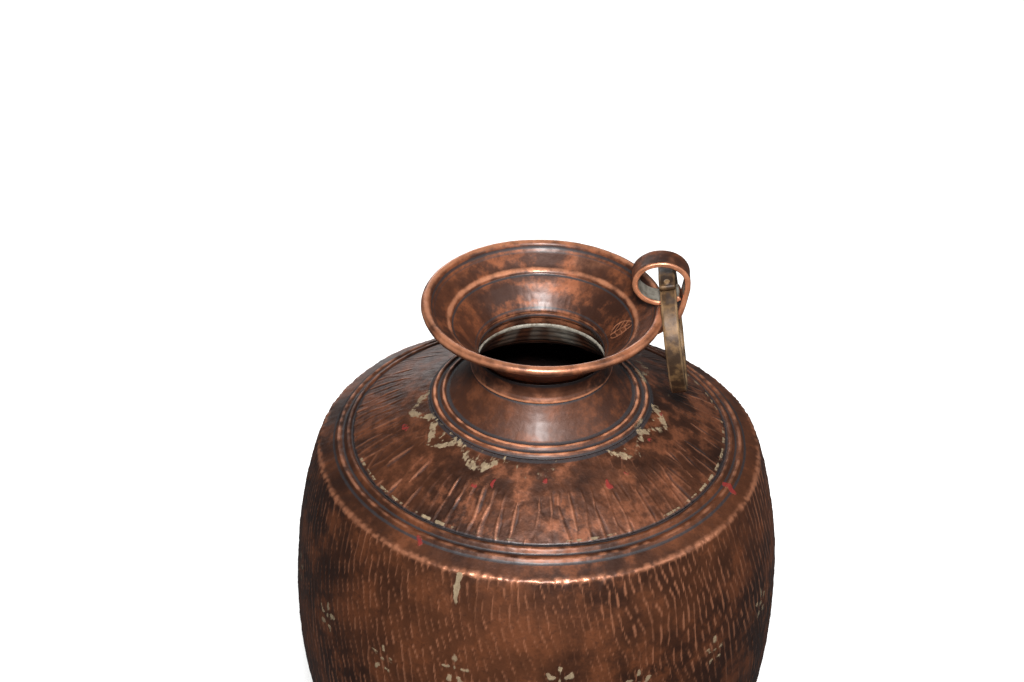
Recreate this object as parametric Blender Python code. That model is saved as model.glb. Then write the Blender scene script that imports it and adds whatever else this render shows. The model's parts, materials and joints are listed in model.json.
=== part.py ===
"""Hammered copper water pot with a flared mouth, a strap loop on its rim and a brass carrying ring.

Metres, +Z up. The origin is the middle of the flat base, and the strap loop stands at +X.
Every sheet piece is turned round Z from an outline of (radius, height) points.
"""
import bpy
import bmesh
from math import asin, atan2, cos, hypot, pi, radians, sin, sqrt
from mathutils import Matrix, Vector

MM = 0.001
SIDES = 48               # flats round a turned piece
GAP = 0.3 * MM           # between pieces that touch
SHEET = 1.5 * MM         # copper sheet

# base and body
BASE_RADIUS = 118 * MM
BASE_FILLET = 12 * MM
BODY_RADIUS = 185 * MM
WIDEST_HEIGHT = 224 * MM
CORNER_IN = 17.5 * MM              # the shoulder's corner, inward from the widest place
CORNER_HEIGHT = 350 * MM
LOWER_CURVE = 2.1        # exponent of the wall below its widest place
UPPER_CURVE = 2.35       # exponent of the wall above it
PAN_SEAM_HEIGHT = 62 * MM
PAN_LAP = 14 * MM

# shoulder
SHOULDER_EDGE_WIDTH = 26.5 * MM    # from the corner in to the seam
SHOULDER_SEAM_RISE = 13.2 * MM     # above the body's corner
SHOULDER_BULGE = 1.0 * MM
SHOULDER_TOP_RISE = 44.9 * MM      # above the body's corner, at the edge of the neck's foot
SHOULDER_LIP_WIDTH = 13.5 * MM     # the part that lies under the neck's foot
RIDGE_WIDTH = 5.6 * MM
RIDGE_RISE = 1.2 * MM
OUTER_RIDGE_IN = 15.7 * MM         # from the corner
INNER_RIDGE_IN = 22.9 * MM         # from the corner

# neck
NECK_GROOVE_RADIUS = 67.8 * MM     # where the cone meets the foot
NECK_FOOT_WIDTH = 15.2 * MM
FOOT_SLOPE = 0.3                   # rise over run of the foot
FOOT_RIDGE_WIDTH = 4.4 * MM
FOOT_RIDGE_RISE = 1.2 * MM
NECK_RISE = 28 * MM                # from the groove to the lip
NECK_WAIST_DROP = 5.2 * MM         # from the lip down to where the cone starts
LIP_OUT = 0.4 * MM                 # how much wider the lip is than the throat
NECK_FLARE = 2.6 * MM              # how much wider the cone is at its top than the lip is
NECK_HOLLOW = 0.9 * MM

# collar and mouth
THROAT_RADIUS = 46.6 * MM          # inside
THROAT_GAP = 5.6 * MM              # from the neck's lip up to the mouth's lower end
THROAT_LENGTH = 5.0 * MM
COLLAR_FLARE = 1.7 * MM
COLLAR_DROP = 4.0 * MM             # below the neck's lip
CREASE_RADIUS = 67.7 * MM
CREASE_RISE = 22.3 * MM            # above the throat
MOUTH_BULGE = 0.8 * MM
RIM_RADIUS = 90 * MM               # outside of the rolled edge
RIM_RISE = 36.2 * MM               # from the throat to the middle of the roll
ROLL_RADIUS = 3.75 * MM
ROLL_OPEN_FROM = radians(-128)     # where the rolled edge ends
ROLL_SHEET = 1.35 * MM
ROLL_BEND_IN = 2.15 * MM           # the bend beside the roll, inward from its skin
ROLL_BEND_DROP = 2.8 * MM          # and down from its middle

# strap loop
STRAP_WIDTH = 19 * MM
STRAP_THICKNESS = 4.2 * MM
LOOP_HALF_WIDTH = 21.4 * MM
LOOP_HALF_HEIGHT = 18.65 * MM
STRAP_TURN = radians(4)            # the hand-bent loop stands a little off square
LOOP_END = radians(316)            # where the curl meets the strap again
STRAP_CHAMFER = 0.7 * MM
TAIL_GAP = 9.0 * MM                # between the rolled edge and the strap that goes round it
SOLDER = 1.2 * MM                  # thickness of the solder under the strap's end
SOLDER_MARGIN = 1.2 * MM

# ring and rivet
RING_BAR_WIDTH = 12.2 * MM
RING_THICKNESS = 4.5 * MM
RING_INNER_RADIUS = 40.3 * MM
RING_CHAMFER = 1.2 * MM
RING_OFFSET = 4.0 * MM             # the ring's middle plane, outward from the loop's axis
RING_LEAN = radians(8.6)
RING_CLEARANCE = 0.5 * MM          # between the ring and the loop's hole, at any swing
LAP_FROM = radians(-40)            # the inner end, behind the top
LAP_TO = radians(13.5)             # the outer end, in front of the top
LAP_LIFT = 2.5 * MM
RIVET_ANGLE = radians(8.5)
RIVET_SHANK = 1.8 * MM             # radius
RIVET_HEAD = 3.1 * MM              # radius
RIVET_HEAD_RISE = 1.3 * MM

# places that follow from the sizes above
CORNER_RADIUS = BODY_RADIUS - CORNER_IN
SHOULDER_SEAM_RADIUS = CORNER_RADIUS - SHOULDER_EDGE_WIDTH
NECK_FOOT_RADIUS = NECK_GROOVE_RADIUS + NECK_FOOT_WIDTH
LIP_RADIUS = THROAT_RADIUS + LIP_OUT
SEAM_HEIGHT = CORNER_HEIGHT + SHOULDER_SEAM_RISE
SHOULDER_TOP = CORNER_HEIGHT + SHOULDER_TOP_RISE
FOOT_HEIGHT = SHOULDER_TOP + GAP + SHEET
GROOVE_HEIGHT = FOOT_HEIGHT + FOOT_SLOPE * (NECK_FOOT_RADIUS - NECK_GROOVE_RADIUS)
LIP_HEIGHT = GROOVE_HEIGHT + NECK_RISE
THROAT_HEIGHT = LIP_HEIGHT + THROAT_GAP + THROAT_LENGTH
RIM_HEIGHT = THROAT_HEIGHT + RIM_RISE
ROLL_CENTRE = RIM_RADIUS - ROLL_RADIUS
LOOP_X = ROLL_CENTRE
LOOP_Z = RIM_HEIGHT + ROLL_RADIUS + GAP + LOOP_HALF_HEIGHT
HOLE_HALF_WIDTH = LOOP_HALF_WIDTH - STRAP_THICKNESS
HOLE_HALF_HEIGHT = LOOP_HALF_HEIGHT - STRAP_THICKNESS


def add_object(name, mesh_bm, material, smooth_below=30):
    mesh = bpy.data.meshes.new(name)
    mesh_bm.to_mesh(mesh)
    mesh_bm.free()
    mesh.shade_smooth()
    mesh.set_sharp_from_angle(angle=radians(smooth_below))
    obj = bpy.data.objects.new(name, mesh)
    obj.data.materials.append(material)
    bpy.context.collection.objects.link(obj)
    return obj


def add_material(name, colour, roughness, metallic=1.0):
    material = bpy.data.materials.new(name)
    material.use_nodes = True
    shader = material.node_tree.nodes["Principled BSDF"]
    shader.inputs["Base Color"].default_value = (*colour, 1.0)
    shader.inputs["Roughness"].default_value = roughness
    shader.inputs["Metallic"].default_value = metallic
    return material


def spaced(start, end, count):
    """Count + 1 values from start to end."""
    return [start + (end - start) * step / count for step in range(count + 1)]


def arc(centre, radius, start, end, count):
    """Points on an arc of a (radius, height) outline."""
    return [(centre[0] + radius * cos(a), centre[1] + radius * sin(a))
            for a in spaced(start, end, count)]


def bowed(start, end, rise, count):
    """Points from start to end that bulge to the left of the way by rise at the middle."""
    run, climb = end[0] - start[0], end[1] - start[1]
    length = hypot(run, climb)
    points = []
    for t in spaced(0.0, 1.0, count):
        bulge = rise * 4 * t * (1 - t) / length
        points.append((start[0] + run * t - climb * bulge, start[1] + climb * t + run * bulge))
    return points


def offset(points, distance):
    """The outline moved sideways, to the left of its way."""
    moved = []
    for index, point in enumerate(points):
        normals = []
        for first, second in ((index - 1, index), (index, index + 1)):
            if first < 0 or second >= len(points):
                continue
            run = points[second][0] - points[first][0]
            climb = points[second][1] - points[first][1]
            normals.append(Vector((-climb, run)).normalized())
        normal = sum(normals, Vector((0, 0))).normalized()
        mitre = distance / normal.dot(normals[0])
        moved.append((point[0] + normal.x * mitre, point[1] + normal.y * mitre))
    return moved


def ridge(radius, height_at, width, rise):
    """Three points of a raised line on a surface, from outside to inside."""
    return [(radius + width / 2, height_at(radius + width / 2)),
            (radius, height_at(radius) + rise),
            (radius - width / 2, height_at(radius - width / 2))]


def turned(name, outline, material, smooth_below=30):
    """A closed (radius, height) outline spun round Z."""
    bm = bmesh.new()
    verts = [bm.verts.new((radius, 0, height)) for radius, height in outline]
    edges = [bm.edges.new((verts[i - 1], verts[i])) for i in range(len(verts))
             if outline[i - 1][0] > 0 or outline[i][0] > 0]
    bmesh.ops.spin(bm, geom=verts + edges, cent=(0, 0, 0), axis=(0, 0, 1), angle=2 * pi,
                   steps=SIDES, use_merge=True)
    bmesh.ops.remove_doubles(bm, verts=bm.verts, dist=0.01 * MM)
    bmesh.ops.recalc_face_normals(bm, faces=bm.faces)
    return add_object(name, bm, material, smooth_below)


def bar_section(width, thickness, chamfer):
    """Corners of a chamfered flat bar: along its width, then through its thickness."""
    w, t = width / 2, thickness / 2
    return [(w, t - chamfer), (w - chamfer, t), (chamfer - w, t), (-w, t - chamfer),
            (-w, chamfer - t), (chamfer - w, -t), (w - chamfer, -t), (w, chamfer - t)]


def bent_bar(name, path, section, material):
    """A flat bar along a path in the plane X = 0, given as (y, z); its width lies along X."""
    bm = bmesh.new()
    rings = []
    sides = [offset(path, depth) for width, depth in section]
    for index in range(len(path)):
        rings.append([bm.verts.new((width, *side[index])) for (width, depth), side in zip(section, sides)])
    for first, second in zip(rings, rings[1:]):
        for k in range(len(section)):
            bm.faces.new((first[k - 1], first[k], second[k], second[k - 1]))
    bm.faces.new(rings[0])
    bm.faces.new(reversed(rings[-1]))
    bmesh.ops.recalc_face_normals(bm, faces=bm.faces)
    return add_object(name, bm, material)


def wall_radius(height):
    """Outer radius of the body at a height: two power curves that meet at the widest place."""
    if height < WIDEST_HEIGHT:
        share = (WIDEST_HEIGHT - height) / WIDEST_HEIGHT
        return BODY_RADIUS - (BODY_RADIUS - BASE_RADIUS) * share ** LOWER_CURVE
    share = (height - WIDEST_HEIGHT) / (CORNER_HEIGHT - WIDEST_HEIGHT)
    return BODY_RADIUS - (BODY_RADIUS - CORNER_RADIUS) * share ** UPPER_CURVE


def wall(start, end, count):
    return [(wall_radius(height), height) for height in spaced(start, end, count)]


def seam_flat():
    """The barrel's straight lower edge, which the pan's edge reaches up behind."""
    return [(wall_radius(height), height) for height in (PAN_SEAM_HEIGHT + GAP, PAN_SEAM_HEIGHT + PAN_LAP)]


def base_pan(material):
    # the flat base turns up through a fillet into the wall, and its edge steps in under the barrel
    slope = atan2(BASE_FILLET, wall_radius(BASE_FILLET) - BASE_RADIUS)
    flat = wall_radius(BASE_FILLET) - BASE_FILLET * (1 + cos(slope)) / (sin(slope) + cos(slope))
    centre = (flat, BASE_FILLET)
    turn = arc(centre, BASE_FILLET, -pi / 2, slope - pi / 2, 3)
    rise = turn[-1][1] + BASE_FILLET / 2
    shown = wall(rise, PAN_SEAM_HEIGHT - GAP, 3)
    low, high = offset(seam_flat(), SHEET + GAP)
    below = -2 * GAP / PAN_LAP
    first = (low[0] + (high[0] - low[0]) * below, low[1] + (high[1] - low[1]) * below)
    outside = turn + shown + [first, high]
    inside = offset(outside, SHEET)
    floor = [(0, inside[0][1]), (0, 0)]
    return turned("base_pan", outside + inside[::-1] + floor, material, 40)


def shoulder_line(radius):
    """Height of the body's top between its corner and the shoulder seam."""
    share = (CORNER_RADIUS - radius) / (CORNER_RADIUS - SHOULDER_SEAM_RADIUS)
    return CORNER_HEIGHT + share * SHOULDER_SEAM_RISE


def body_barrel(material):
    # wall, rounded corner, two raised lines, and the edge that meets the shoulder plate
    low, high = seam_flat()
    sides = [low] + wall(high[1], CORNER_HEIGHT - 2 * SHEET, 10)
    edge = SHOULDER_SEAM_RADIUS + GAP
    round_off = 3.5 * MM
    over = [(CORNER_RADIUS - round_off, shoulder_line(CORNER_RADIUS - round_off))]
    top = []
    for inward in (OUTER_RIDGE_IN, INNER_RIDGE_IN):
        top += ridge(CORNER_RADIUS - inward, shoulder_line, RIDGE_WIDTH, RIDGE_RISE)
    end = [(edge, shoulder_line(edge))]
    inside = offset(sides[:2] + sides[3::2] + over + end, SHEET)
    return turned("body_barrel", sides + over + top + end + inside[::-1], material)


def shoulder_plate(material):
    # a shallow cone from the seam up to the neck, with a flatter lip under the neck's foot
    seam = (SHOULDER_SEAM_RADIUS - GAP, shoulder_line(SHOULDER_SEAM_RADIUS - GAP))
    foot = (NECK_FOOT_RADIUS, SHOULDER_TOP)
    lip = (NECK_FOOT_RADIUS - SHOULDER_LIP_WIDTH, SHOULDER_TOP + FOOT_SLOPE * SHOULDER_LIP_WIDTH)
    top = bowed(seam, foot, -SHOULDER_BULGE, 5) + [lip]
    return turned("shoulder_plate", top + offset(top, SHEET)[::-1], material)


def foot_line(radius):
    return FOOT_HEIGHT + FOOT_SLOPE * (NECK_FOOT_RADIUS - radius)


def neck_cone(material):
    # foot with two raised lines, a groove, a slightly hollow cone, and an upright lip
    first = NECK_FOOT_RADIUS - 1.2 * MM - FOOT_RIDGE_WIDTH / 2
    second = first - FOOT_RIDGE_WIDTH * 1.5
    foot = [(NECK_FOOT_RADIUS, foot_line(NECK_FOOT_RADIUS))]
    for radius in (first, second):
        foot += ridge(radius, foot_line, FOOT_RIDGE_WIDTH, FOOT_RIDGE_RISE)
    groove = (NECK_GROOVE_RADIUS, GROOVE_HEIGHT)
    waist = (LIP_RADIUS + SHEET + NECK_FLARE, LIP_HEIGHT - NECK_WAIST_DROP)
    lip = [(LIP_RADIUS + SHEET, LIP_HEIGHT)]
    cone = bowed(groove, waist, NECK_HOLLOW, 4)
    plain = [foot[0]] + cone + lip
    return turned("neck_cone", foot + cone + lip + offset(plain, SHEET)[::-1], material)


def collar_band(material):
    # covers the joint of neck and mouth: a short tube that flares at its lower edge
    radius = THROAT_RADIUS + 2 * SHEET + 3 * GAP
    top = THROAT_HEIGHT - GAP
    low = LIP_HEIGHT - COLLAR_DROP
    outside = [(radius + SHEET / 2 + COLLAR_FLARE, low),
               (radius + COLLAR_FLARE / 3, low + (top - low) / 4),
               (radius, low + (top - low) / 2), (radius, top)]
    return turned("collar_band", outside + offset(outside, SHEET)[::-1], material)


def mouth_funnel(material):
    # throat tube, bell, crease, upper flare, and the edge rolled outward round its wire
    centre = (ROLL_CENTRE, RIM_HEIGHT)
    throat = [(THROAT_RADIUS, THROAT_HEIGHT - THROAT_LENGTH), (THROAT_RADIUS, THROAT_HEIGHT)]
    crease = (CREASE_RADIUS, THROAT_HEIGHT + CREASE_RISE)
    bend = (ROLL_CENTRE - ROLL_RADIUS - ROLL_BEND_IN, RIM_HEIGHT - ROLL_BEND_DROP)
    bell = bowed(throat[1], crease, MOUTH_BULGE, 4)[1:]
    inside = throat + bell + [bend]
    outside = offset(inside, -SHEET)
    over = arc(centre, ROLL_RADIUS, radians(178), ROLL_OPEN_FROM, 11)
    under = arc(centre, ROLL_RADIUS - ROLL_SHEET, ROLL_OPEN_FROM, radians(184), 8)
    return turned("mouth_funnel", inside + over + under + outside[::-1], material)


def rim_wire(material):
    wire = ROLL_RADIUS - ROLL_SHEET - GAP
    outline = arc((ROLL_CENTRE, RIM_HEIGHT), wire, 0, 2 * pi, 7)[:-1]
    return turned("rim_wire", outline, material, 60)


def mouth_cone():
    """Start, direction and outward normal of the bell's straight line, as (radius, height)."""
    run = Vector((CREASE_RADIUS - THROAT_RADIUS, CREASE_RISE))
    way = run.normalized()
    return Vector((THROAT_RADIUS, THROAT_HEIGHT)), way, Vector((way.y, -way.x)), run.length


def strap_seat(share, depth):
    """A place under the bell, a share of the way up it and a depth out of its inner face."""
    start, way, normal, length = mouth_cone()
    return start + way * length * share + normal * depth


def smooth_through(points, count):
    """A Catmull-Rom curve through all points, with count steps between two of them."""
    ends = [points[0] * 2 - points[1]] + points + [points[-1] * 2 - points[-2]]
    curve = []
    for a, b, c, d in zip(ends, ends[1:], ends[2:], ends[3:]):
        for t in spaced(0.0, 1.0, count)[:-1]:
            curve.append(0.5 * (2 * b + (c - a) * t + (2 * a - 5 * b + 4 * c - d) * t * t
                                + (3 * b - a - 3 * c + d) * t ** 3))
    return curve + [points[-1]]


def strap_path():
    """Middle line of the strap as (x, z): from its soldered end round the rim and into the curl."""
    middle = SHEET + SOLDER + 2 * GAP + STRAP_THICKNESS / 2 + MOUTH_BULGE / 2
    half_width = LOOP_HALF_WIDTH - STRAP_THICKNESS / 2
    half_height = LOOP_HALF_HEIGHT - STRAP_THICKNESS / 2
    rim = Vector((ROLL_CENTRE, RIM_HEIGHT))
    reach = ROLL_RADIUS + TAIL_GAP + STRAP_THICKNESS / 2
    side = Vector((LOOP_X + half_width, LOOP_Z - half_height * 0.25))
    under = [rim + Vector((cos(radians(turn)), sin(radians(turn)))) * reach * share
             for turn, share in ((-122, 1.74), (-100, 1.41), (-74, 1.07), (-20, 1.0))]
    flat_end, bend = strap_seat(0.28, middle), strap_seat(0.55, middle)
    tail = [flat_end] + smooth_through([bend, *under, side], 4)
    start = asin((side.y - LOOP_Z) / half_height) + radians(12)
    curl = [Vector((LOOP_X + half_width * cos(a), LOOP_Z + half_height * sin(a)))
            for a in spaced(start, LOOP_END, 26)]
    return tail + curl


def strap_frame():
    """Upright axes of the strap: X out from the pot, Y along the loop's hole."""
    return Matrix.Translation((LOOP_X, 0, 0)) @ Matrix.Rotation(-STRAP_TURN, 4, "Z")


def loop_strap(material):
    path = [(x - LOOP_X, z) for x, z in strap_path()]
    section = bar_section(STRAP_WIDTH, STRAP_THICKNESS, STRAP_CHAMFER)
    obj = bent_bar("loop_strap", path, section, material)
    # the bar was made in the plane X = 0, and the strap lies in the plane Y = 0
    obj.data.transform(strap_frame() @ Matrix.Rotation(-pi / 2, 4, "Z"))
    return obj


def border(grid):
    """The outer vertices of a grid of rows, in order round it."""
    last = len(grid) - 1
    return (grid[0] + [row[-1] for row in grid[1:last]] + grid[last][::-1]
            + [row[0] for row in grid[last - 1:0:-1]])


def strap_solder(material):
    """Solder between the strap's flat end and the round bell."""
    start, way, normal, length = mouth_cone()
    frame = strap_frame()
    half = STRAP_WIDTH / 2 - SOLDER_MARGIN
    depth = SHEET + SOLDER + GAP + MOUTH_BULGE / 2
    bm = bmesh.new()
    lower, upper = [], []
    for share in spaced(0.32, 0.52, 3):
        low_row, high_row = [], []
        for across in spaced(-half, half, 4):
            flat = strap_seat(share, depth)
            low = frame @ Vector((flat.x - LOOP_X, across, flat.y))
            bell = start.x + (low.z - start.y) * way.x / way.y
            fill = (hypot(low.x, low.y) - bell) * normal.x - SHEET - GAP - MOUTH_BULGE * 0.9
            high = low - frame.to_3x3() @ Vector((normal.x, 0, normal.y)) * fill
            low_row.append(bm.verts.new(low))
            high_row.append(bm.verts.new(high))
        lower.append(low_row)
        upper.append(high_row)
    for grid in (lower, upper):
        for row, after in zip(grid, grid[1:]):
            for k in range(len(row) - 1):
                bm.faces.new((row[k], row[k + 1], after[k + 1], after[k]))
    low_edge, high_edge = border(lower), border(upper)
    for k in range(len(low_edge)):
        bm.faces.new((low_edge[k - 1], low_edge[k], high_edge[k], high_edge[k - 1]))
    bmesh.ops.recalc_face_normals(bm, faces=bm.faces)
    return add_object("strap_solder", bm, material)


def ring_drop():
    """From the loop's axis down to the ring's centre, so that the bar's corner clears the hole."""
    swing = min(HOLE_HALF_WIDTH, HOLE_HALF_HEIGHT) - RING_CLEARANCE
    corner = RING_OFFSET + RING_BAR_WIDTH / 2
    sag = RING_INNER_RADIUS - sqrt(RING_INNER_RADIUS ** 2 - (STRAP_WIDTH / 2) ** 2)
    return RING_INNER_RADIUS + sqrt(swing ** 2 - corner ** 2) - sag


def ring_radius(angle):
    """Middle radius of the bar: one turn, then it climbs over its own first end."""
    climb_from, climb_to = radians(250), 2 * pi + LAP_FROM
    share = min(max((angle - climb_from) / (climb_to - climb_from), 0.0), 1.0)
    climb = (RING_THICKNESS + GAP) * share * share * (3 - 2 * share)
    span = 2 * pi + LAP_TO - climb_from
    lift = LAP_LIFT * sin(pi * (angle - climb_from) / span) ** 2 if angle > climb_from else 0.0
    return RING_INNER_RADIUS + RING_THICKNESS / 2 + climb + lift


def ring_pivot():
    """An empty on the loop's axis. Its Y is the axis, and the ring leans outward from it."""
    pivot = bpy.data.objects.new("ring_pivot", None)
    bpy.context.collection.objects.link(pivot)
    pivot.location = (LOOP_X, 0, LOOP_Z)
    pivot.rotation_euler = (0, -RING_LEAN, -STRAP_TURN)
    return pivot


def hanging_ring(material, pivot, cutter):
    centre = Vector((0, -ring_drop()))
    path = []
    for angle in spaced(LAP_FROM, 2 * pi + LAP_TO, 76):
        radius = ring_radius(angle)
        path.append((centre.x - radius * sin(angle), centre.y + radius * cos(angle)))
    section = bar_section(RING_BAR_WIDTH, RING_THICKNESS, RING_CHAMFER)
    obj = bent_bar("hanging_ring", path, section, material)
    obj.data.transform(Matrix.Translation((RING_OFFSET, 0, 0)))
    obj.parent = pivot
    hole = obj.modifiers.new("rivet_hole", "BOOLEAN")
    hole.operation = "DIFFERENCE"
    hole.object = cutter
    return obj


def rivet_place():
    """Where the rivet stands in the pivot's axes: on the bar's inner face, pointing outward."""
    radius = RING_INNER_RADIUS
    out = Vector((0, -sin(RIVET_ANGLE), cos(RIVET_ANGLE)))
    place = Vector((RING_OFFSET, 0, -ring_drop())) + out * radius
    return Matrix.Translation(place) @ Matrix.Rotation(RIVET_ANGLE, 4, "X")


def ring_rivet(material, pivot):
    face = ring_radius(2 * pi + RIVET_ANGLE) + RING_THICKNESS / 2 - RING_INNER_RADIUS + 2 * GAP
    dome = [(RIVET_HEAD * cos(a), face + RIVET_HEAD_RISE * sin(a)) for a in spaced(0, pi / 2, 3)]
    outline = [(0, 2 * GAP), (RIVET_SHANK, 2 * GAP), (RIVET_SHANK, face)] + dome[:-1]
    outline.append((0, face + RIVET_HEAD_RISE))
    bm = bmesh.new()
    verts = [bm.verts.new((radius, 0, height)) for radius, height in outline]
    edges = [bm.edges.new((first, second)) for first, second in zip(verts, verts[1:])]
    bmesh.ops.spin(bm, geom=verts + edges, cent=(0, 0, 0), axis=(0, 0, 1), angle=2 * pi, steps=12,
                   use_merge=True)
    bmesh.ops.remove_doubles(bm, verts=bm.verts, dist=0.01 * MM)
    bmesh.ops.recalc_face_normals(bm, faces=bm.faces)
    obj = add_object("ring_rivet", bm, material)
    obj.data.transform(rivet_place())
    obj.parent = pivot
    return obj


def rivet_cutter(pivot):
    bm = bmesh.new()
    length = 6 * RING_THICKNESS
    bmesh.ops.create_cone(bm, cap_ends=True, segments=12, radius1=RIVET_SHANK + GAP,
                          radius2=RIVET_SHANK + GAP, depth=length, matrix=rivet_place())
    mesh = bpy.data.meshes.new("rivet_cutter")
    bm.to_mesh(mesh)
    bm.free()
    obj = bpy.data.objects.new("rivet_cutter", mesh)
    bpy.context.collection.objects.link(obj)
    obj.parent = pivot
    obj.hide_render = True
    obj.display_type = "WIRE"
    return obj


def main():
    for obj in list(bpy.data.objects):
        bpy.data.objects.remove(obj, do_unlink=True)
    copper = add_material("patinated_copper", (0.22, 0.085, 0.045), 0.42)
    hammered = add_material("hammered_copper", (0.19, 0.07, 0.038), 0.45)
    bright = add_material("worn_copper", (0.42, 0.17, 0.09), 0.35)
    tinned = add_material("solder_tin", (0.45, 0.44, 0.41), 0.5)
    wire = add_material("wire_iron", (0.12, 0.11, 0.10), 0.6)
    brass = add_material("old_brass", (0.40, 0.25, 0.09), 0.38)
    base_pan(hammered)
    body_barrel(hammered)
    shoulder_plate(copper)
    neck_cone(copper)
    collar_band(bright)
    mouth_funnel(copper)
    rim_wire(wire)
    loop_strap(bright)
    strap_solder(tinned)
    pivot = ring_pivot()
    hanging_ring(brass, pivot, rivet_cutter(pivot))
    ring_rivet(brass, pivot)


main()
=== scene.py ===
import json
from math import ceil, cos, pi, radians, sin, sqrt

import bmesh
import bpy
import numpy as np
from mathutils import Matrix, Vector


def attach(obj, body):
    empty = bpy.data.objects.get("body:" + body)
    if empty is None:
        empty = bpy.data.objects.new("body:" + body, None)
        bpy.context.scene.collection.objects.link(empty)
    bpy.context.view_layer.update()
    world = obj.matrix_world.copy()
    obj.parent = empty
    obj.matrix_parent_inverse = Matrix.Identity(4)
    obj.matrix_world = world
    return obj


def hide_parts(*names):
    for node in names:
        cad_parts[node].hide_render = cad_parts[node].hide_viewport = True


# Old hammered copper water pot with a brass ring. Sizes are in mm unless a note says otherwise.

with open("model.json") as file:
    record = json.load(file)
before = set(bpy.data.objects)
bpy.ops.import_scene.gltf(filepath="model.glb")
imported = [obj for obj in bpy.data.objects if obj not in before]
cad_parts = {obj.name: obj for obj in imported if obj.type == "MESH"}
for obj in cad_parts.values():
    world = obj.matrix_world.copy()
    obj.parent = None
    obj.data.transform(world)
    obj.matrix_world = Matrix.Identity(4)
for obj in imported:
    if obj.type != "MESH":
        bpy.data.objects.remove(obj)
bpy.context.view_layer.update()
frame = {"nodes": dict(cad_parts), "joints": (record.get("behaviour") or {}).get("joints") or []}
mm = 0.001
frontAngle = radians(-94.4)  # the side of the pot that faces the camera
print("frame loaded:", len(frame["nodes"]), "nodes")


class Amount:
    # wraps a number socket, so that sums on it add their Math nodes
    def __init__(self, finish, socket):
        self.finish, self.socket = finish, socket

    def sum(self, operation, first, second):
        made = self.finish.node("ShaderNodeMath", {"operation": operation}, {0: first, 1: second})
        return Amount(self.finish, made.outputs[0])

    def __add__(self, other):
        return self.sum("ADD", self, other)

    def __sub__(self, other):
        return self.sum("SUBTRACT", self, other)

    def __rsub__(self, other):
        return self.sum("SUBTRACT", other, self)

    def __mul__(self, other):
        return self.sum("MULTIPLY", self, other)

    __radd__, __rmul__ = __add__, __mul__


class Finish:
    # one material, the nodes put into it, and the shader they feed
    def __init__(self, name):
        self.material = bpy.data.materials.new(name)
        self.material.use_nodes = True
        self.nodes = self.material.node_tree.nodes
        self.links = self.material.node_tree.links
        self.shader = self.nodes["Principled BSDF"]
        self.place = self.node("ShaderNodeTexCoord").outputs["Object"]

    def node(self, kind, settings=None, sockets=None):
        made = self.nodes.new(kind)
        for key, value in (settings or {}).items():
            setattr(made, key, value)
        for key, value in (sockets or {}).items():
            self.feed(made.inputs[key], value)
        return made

    def feed(self, socket, value):
        if isinstance(value, Amount):
            self.links.new(value.socket, socket)
        elif isinstance(value, bpy.types.NodeSocket):
            self.links.new(value, socket)
        else:
            socket.default_value = value

    def noise(self, size, detail=4, rough=0.55, stretch=None):
        # blotches of about size mm
        place = self.place
        if stretch:
            place = self.node("ShaderNodeMapping", None, {"Vector": place, "Scale": stretch}).outputs[0]
        made = self.node("ShaderNodeTexNoise", None,
                         {"Vector": place, "Scale": 500 / size, "Detail": detail, "Roughness": rough})
        return Amount(self, made.outputs[0])

    def ramp(self, amount, low, high):
        # 0 below low, 1 above high, smooth between
        made = self.node("ShaderNodeMapRange", {"interpolation_type": "SMOOTHSTEP"},
                         {"Value": amount, "From Min": low, "From Max": high})
        return Amount(self, made.outputs[0])

    def mark(self, name):
        # a mask kept on the mesh's points
        made = self.node("ShaderNodeAttribute", {"attribute_name": name})
        return Amount(self, made.outputs["Fac"])

    def mix(self, share, first, second):
        made = self.node("ShaderNodeMix", {"data_type": "RGBA"}, {0: share, 6: first, 7: second})
        return made.outputs[2]

    def done(self, colour, rough, metal, height, depth):
        self.feed(self.shader.inputs["Base Color"], colour)
        self.feed(self.shader.inputs["Roughness"], rough)
        self.feed(self.shader.inputs["Metallic"], metal)
        bump = self.node("ShaderNodeBump", None,
                         {"Height": height, "Distance": depth * mm, "Strength": 1.0})
        self.feed(self.shader.inputs["Normal"], bump.outputs[0])
        return self.material


def tone(red, green, blue):
    return (red, green, blue, 1.0)


creamPaint = tone(0.31, 0.235, 0.14)
redPaint = tone(0.19, 0.006, 0.004)
tinGrey = tone(0.40, 0.37, 0.31)
tinStain = tone(0.13, 0.105, 0.075)
# near-black tone for painted shade in grooves, creases and insides, and for grime
shadeGrimeTone = tone(0.030, 0.026, 0.028)


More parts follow.
